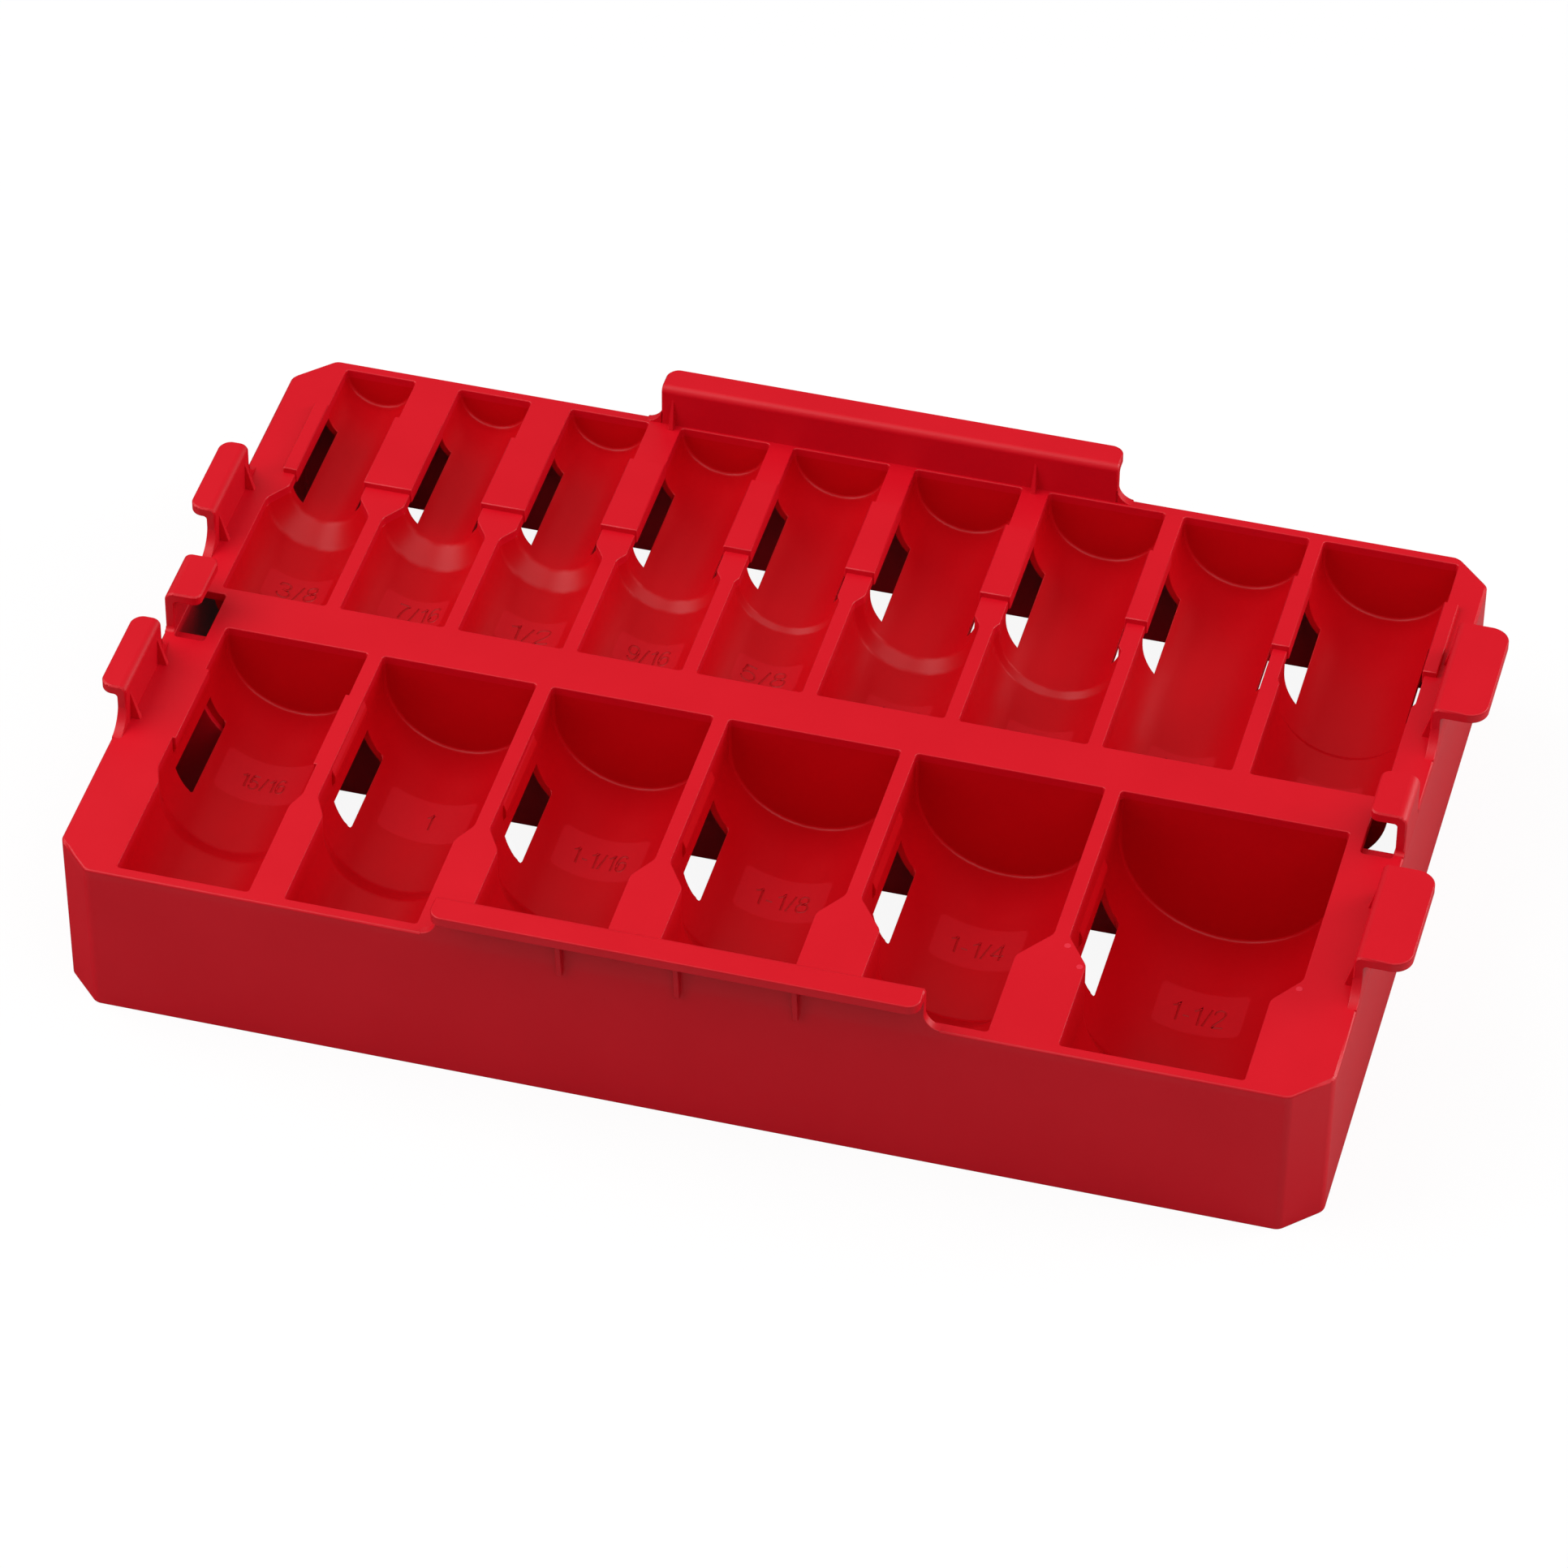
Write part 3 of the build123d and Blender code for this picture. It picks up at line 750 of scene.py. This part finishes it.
# The strokes of each figure, one unit high, and the width that it takes up in a line
SIX = (((0.49, 0.82), (0.42, 0.95), (0.28, 1.0), (0.12, 0.9), (0.04, 0.62), (0.05, 0.28), (0.12, 0.07),
        (0.28, 0.0), (0.45, 0.08), (0.52, 0.31), (0.45, 0.54), (0.28, 0.61), (0.12, 0.52), (0.05, 0.28)),)
FIGURES = {
    "1": (0.52, (((0.06, 0.76), (0.22, 0.86), (0.32, 1.0)), ((0.32, 1.0), (0.32, 0.0)))),
    "2": (0.70, (((0.04, 0.72), (0.09, 0.92), (0.27, 1.0), (0.46, 0.91), (0.50, 0.72), (0.40, 0.50),
                  (0.18, 0.24), (0.03, 0.0)),
                 ((0.03, 0.0), (0.53, 0.0)))),
    "3": (0.70, (((0.05, 0.76), (0.11, 0.93), (0.27, 1.0), (0.44, 0.92), (0.48, 0.75), (0.39, 0.58),
                  (0.22, 0.53)),
                 ((0.22, 0.53), (0.43, 0.47), (0.52, 0.28), (0.44, 0.07), (0.26, 0.0), (0.09, 0.06),
                  (0.03, 0.23)))),
    "4": (0.70, (((0.41, 0.0), (0.41, 1.0)), ((0.41, 1.0), (0.02, 0.3)), ((0.02, 0.3), (0.56, 0.3)))),
    "5": (0.70, (((0.48, 1.0), (0.13, 1.0)), ((0.13, 1.0), (0.06, 0.49)),
                 ((0.06, 0.49), (0.25, 0.62), (0.44, 0.54), (0.52, 0.32), (0.44, 0.08), (0.26, 0.0),
                  (0.1, 0.05), (0.03, 0.22)))),
    "6": (0.70, SIX),
    "7": (0.70, (((0.03, 1.0), (0.53, 1.0)), ((0.53, 1.0), (0.36, 0.72), (0.24, 0.38), (0.19, 0.0)))),
    "8": (0.70, (((0.27, 0.54), (0.11, 0.63), (0.08, 0.78), (0.13, 0.93), (0.27, 1.0), (0.42, 0.93),
                  (0.47, 0.78), (0.44, 0.63), (0.27, 0.54)),
                 ((0.27, 0.54), (0.09, 0.45), (0.03, 0.28), (0.09, 0.07), (0.27, 0.0), (0.46, 0.07),
                  (0.52, 0.28), (0.46, 0.45), (0.27, 0.54)))),
    "9": (0.70, tuple(tuple((0.55 - across, 1 - up) for across, up in stroke) for stroke in SIX)),
    "/": (0.40, (((0.02, 0.0), (0.28, 1.0)),)),
    "-": (0.44, (((0.05, 0.38), (0.32, 0.38)),)),
}


def numeral_strokes(words, box):
    """The strokes of a line of figures, fitted to its box on the floor of the trough."""
    strokes = []
    pen = 0.0
    for sign in words:
        width, parts = FIGURES[sign]
        strokes += [[(pen + across, up) for across, up in part] for part in parts]
        pen += width
    left = min(across for stroke in strokes for across, up in stroke)
    right = max(across for stroke in strokes for across, up in stroke)
    side = box.left + STROKE_RADIUS
    width = (box.right - box.left - 2 * STROKE_RADIUS) / (right - left)
    foot = box.front + STROKE_RADIUS
    height = box.rear - box.front - 2 * STROKE_RADIUS
    return [[(side + (across - left) * width, foot + up * height) for across, up in stroke]
            for stroke in strokes]


def numeral_tree():
    """Geometry nodes that bend a numeral's strokes onto the floor of a trough and make them round bars."""
    values = ("Pocket Middle", "Axis Height", "Radius", "Stroke Radius", "Point Spacing")
    tree, sockets = shape_tree("bent_numeral", "Strokes", values, "Bars")
    tree_in = tree.nodes.new("NodeGroupInput")
    given = tree_in.outputs
    links = tree.links
    smooth = tree.nodes.new("GeometryNodeCurveSplineType")
    smooth.spline_type = "CATMULL_ROM"
    links.new(given["Strokes"], smooth.inputs["Curve"])
    even = tree.nodes.new("GeometryNodeResampleCurve")
    even.mode = "LENGTH"
    links.new(smooth.outputs["Curve"], even.inputs["Curve"])
    links.new(given["Point Spacing"], even.inputs["Length"])
    place = tree.nodes.new("GeometryNodeInputPosition")
    point = tree.nodes.new("ShaderNodeSeparateXYZ")
    links.new(place.outputs[0], point.inputs[0])
    out_square = math_node(tree, "MULTIPLY", given["Radius"], given["Radius"])
    across_square = math_node(tree, "MULTIPLY", point.outputs["X"], point.outputs["X"])
    drop = math_node(tree, "SQRT", math_node(tree, "SUBTRACT", out_square, across_square))
    bent = tree.nodes.new("ShaderNodeCombineXYZ")
    links.new(math_node(tree, "ADD", point.outputs["X"], given["Pocket Middle"]), bent.inputs["X"])
    links.new(point.outputs["Y"], bent.inputs["Y"])
    links.new(math_node(tree, "SUBTRACT", given["Axis Height"], drop), bent.inputs["Z"])
    bend = tree.nodes.new("GeometryNodeSetPosition")
    links.new(even.outputs["Curve"], bend.inputs["Geometry"])
    links.new(bent.outputs[0], bend.inputs["Position"])
    ring = tree.nodes.new("GeometryNodeCurvePrimitiveCircle")
    ring.inputs["Resolution"].default_value = STROKE_SIDES
    links.new(given["Stroke Radius"], ring.inputs["Radius"])
    bars = tree.nodes.new("GeometryNodeCurveToMesh")
    bars.inputs["Fill Caps"].default_value = True
    links.new(bend.outputs[0], bars.inputs["Curve"])
    links.new(ring.outputs["Curve"], bars.inputs["Profile Curve"])
    give_finished(tree, tree_in, bars.outputs[0])
    return tree, sockets


bent_numeral, numeral_sockets = numeral_tree()


def numeral_box(pocket):
    """The box that a pocket's size numeral fills, from the pocket's middle."""
    return NUMERAL_BOXES.get(pocket.size, ROW_NUMERALS[pocket.row])


def numeral_cutter(pocket):
    """The bars that engrave one pocket's size numeral."""
    radius = pocket.drive_radius if pocket.row == "back" else pocket.hex_radius
    name = "numeral_" + pocket.size
    curve = bpy.data.curves.new(name, "CURVE")
    curve.dimensions = "3D"
    for stroke in numeral_strokes(pocket.words, numeral_box(pocket)):
        spline = curve.splines.new("POLY")
        spline.points.add(len(stroke) - 1)
        for point, (across, along) in zip(spline.points, stroke):
            point.co = (across * MM, along * MM, 0, 1)
    values = {
        "Pocket Middle": pocket.x * MM,
        "Axis Height": pocket.axis * MM,
        "Radius": (radius - STROKE_LIFT) * MM,
        "Stroke Radius": STROKE_RADIUS * MM,
        "Point Spacing": POINT_SPACING * MM,
        # The strokes' finish is the darker plastic, painted shade in the grooves
        "Finish": groove_shaded_red,
    }
    mesh = shaped(name + "_strokes", curve, bent_numeral, numeral_sockets, values)
    bpy.data.curves.remove(curve)
    return placed(name, mesh)


def cell_cuts(low, high):
    """Places of the cuts that part the floor under a numeral into cells."""
    low -= CELL_MARGIN
    high += CELL_MARGIN
    count = math.ceil((high - low) / CELL_SIZE)
    return [low + (high - low) * step / count for step in range(count + 1)]


def cut_cells(work, pocket, box):
    """Parts the trough's floor under a numeral into small three-sided cells, so that the cuts stay clean."""
    planes = [((0, along * MM, 0), (0, 1, 0)) for along in cell_cuts(box.front, box.rear)]
    planes += [(((pocket.x + across) * MM, 0, 0), (1, 0, 0)) for across in cell_cuts(box.left, box.right)]
    wide = CELL_MARGIN + CELL_SIZE
    floor_top = pocket.axis - FLOOR_DEPTH * pocket.hex_radius
    for place, way in planes:
        floor = []
        for face in work.faces:
            middle = face.calc_center_median() / MM
            under = way[1] or box.front - wide < middle.y < box.rear + wide
            if face.normal.z > FLOOR_FACING and middle.z < floor_top and under:
                floor.append(face)
        geometry = floor + list({edge for face in floor for edge in face.edges})
        geometry += list({vertex for face in floor for vertex in face.verts})
        bmesh.ops.bisect_plane(work, geom=geometry, dist=CELL_CUT_REACH * MM, plane_co=place, plane_no=way)
    most_area = MOST_CELLS * (CELL_SIZE * MM) ** 2
    cells = [face for face in work.faces if face.normal.z > FLOOR_FACING and face.calc_area() < most_area]
    bmesh.ops.triangulate(work, faces=cells)


def engraved(name, work):
    """Engraves a cradle's numeral into its rounded shape."""
    pocket = pocket_of[name]
    whole = work.faces.layers.int.new("whole")
    cut_cells(work, pocket, numeral_box(pocket))
    for face in work.faces:
        face[whole] = 1
    mesh = bpy.data.meshes.new(name + "_plain")
    work.to_mesh(mesh)
    work.free()
    plain = placed(name + "_plain", mesh)
    cutter = numeral_cutter(pocket)
    cut = plain.modifiers.new("engrave", "BOOLEAN")
    cut.operation = "DIFFERENCE"
    cut.solver = "MANIFOLD"
    cut.object = cutter
    result = evaluated_mesh(plain)
    for spare in (plain, cutter):
        spent = spare.data
        bpy.data.objects.remove(spare)
        bpy.data.meshes.remove(spent)
    work = bmesh.new()
    work.from_mesh(result)
    bpy.data.meshes.remove(result)
    whole = work.faces.layers.int["whole"]
    # Faces cut by the numeral take the darker plastic, painted shade in the grooves
    for face in work.faces:
        face.material_index = 0 if face[whole] else 1
    work.faces.layers.int.remove(whole)
    return work


def mark_patch(mesh, pocket):
    """Gives each point its place from the middle of the patch around the numeral."""
    patch = PATCHES[pocket.row]
    places = mesh.attributes.new("patch_place", "FLOAT_VECTOR", "POINT")
    for vertex, place in zip(mesh.vertices, places.data):
        place.vector = (vertex.co.x - (pocket.x + patch.across) * MM, vertex.co.y - patch.along * MM, 0)


# Witness marks of the mould, polished spots on the deck, with a painted highlight in their paler colour

WITNESS_RADIUS = 0.75
WITNESS_HEIGHT = 0.05
WITNESS_SINK = 0.01
WITNESS_SIDES = 40
WITNESS_SPOTS = ((76.5, -59.4), (80.6, -65.3), (128.5, -59.4))


def witness_tree():
    """Geometry nodes that set a thin round disc on each point of a mesh."""
    tree, sockets = shape_tree("witness_marks", "Spots", ("Radius", "Height"), "Marks")
    tree_in = tree.nodes.new("NodeGroupInput")
    disc = tree.nodes.new("GeometryNodeMeshCylinder")
    disc.inputs["Vertices"].default_value = WITNESS_SIDES
    tree.links.new(tree_in.outputs["Radius"], disc.inputs["Radius"])
    tree.links.new(tree_in.outputs["Height"], disc.inputs["Depth"])
    marks = tree.nodes.new("GeometryNodeInstanceOnPoints")
    tree.links.new(tree_in.outputs["Spots"], marks.inputs["Points"])
    tree.links.new(disc.outputs["Mesh"], marks.inputs["Instance"])
    give_finished(tree, tree_in, marks.outputs[0])
    return tree, sockets


def witness_marks():
    """Lays the polished marks flat on the deck; their paler colour is a painted highlight."""
    tree, sockets = witness_tree()
    level = TRAY_HEIGHT + WITNESS_HEIGHT / 2 - WITNESS_SINK
    spots = bpy.data.meshes.new("witness_spots")
    spots.from_pydata([(across * MM, along * MM, level * MM) for across, along in WITNESS_SPOTS], [], [])
    # The marks' finish carries a painted highlight in its colour
    values = {"Radius": WITNESS_RADIUS * MM, "Height": WITNESS_HEIGHT * MM, "Finish": polished_glint_red}
    mesh = shaped("witness_spots", spots, tree, sockets, values)
    bpy.data.meshes.remove(spots)
    piece = placed("witness_marks", mesh)
    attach(piece, "root")


# Dressed nodes

def dressed(name):
    """The finished piece that stands for one feature of the tray."""
    pocket = pocket_of.get(name)
    work = rounded(name)
    mesh = bpy.data.meshes.new(name + "_finished")
    if pocket:
        work = engraved(name, work)
    finish_mesh(work, mesh, pocket)
    work.free()
    if pocket:
        # The cradle plastic's darker base colour is painted shade of the pocket
        mesh.materials.append(shaded_cradle_reds[pocket.row])
        # The numerals' darker plastic is painted shade in their grooves
        mesh.materials.append(groove_shaded_red)
        mark_patch(mesh, pocket)
    else:
        mesh.materials.append(wall_red if name.endswith("_wall") else satin_red)
    piece = placed(name + "_finished", mesh)
    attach(piece, "root")
    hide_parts(name)


for node_name in sorted(nodes):
    dressed(node_name)
witness_marks()
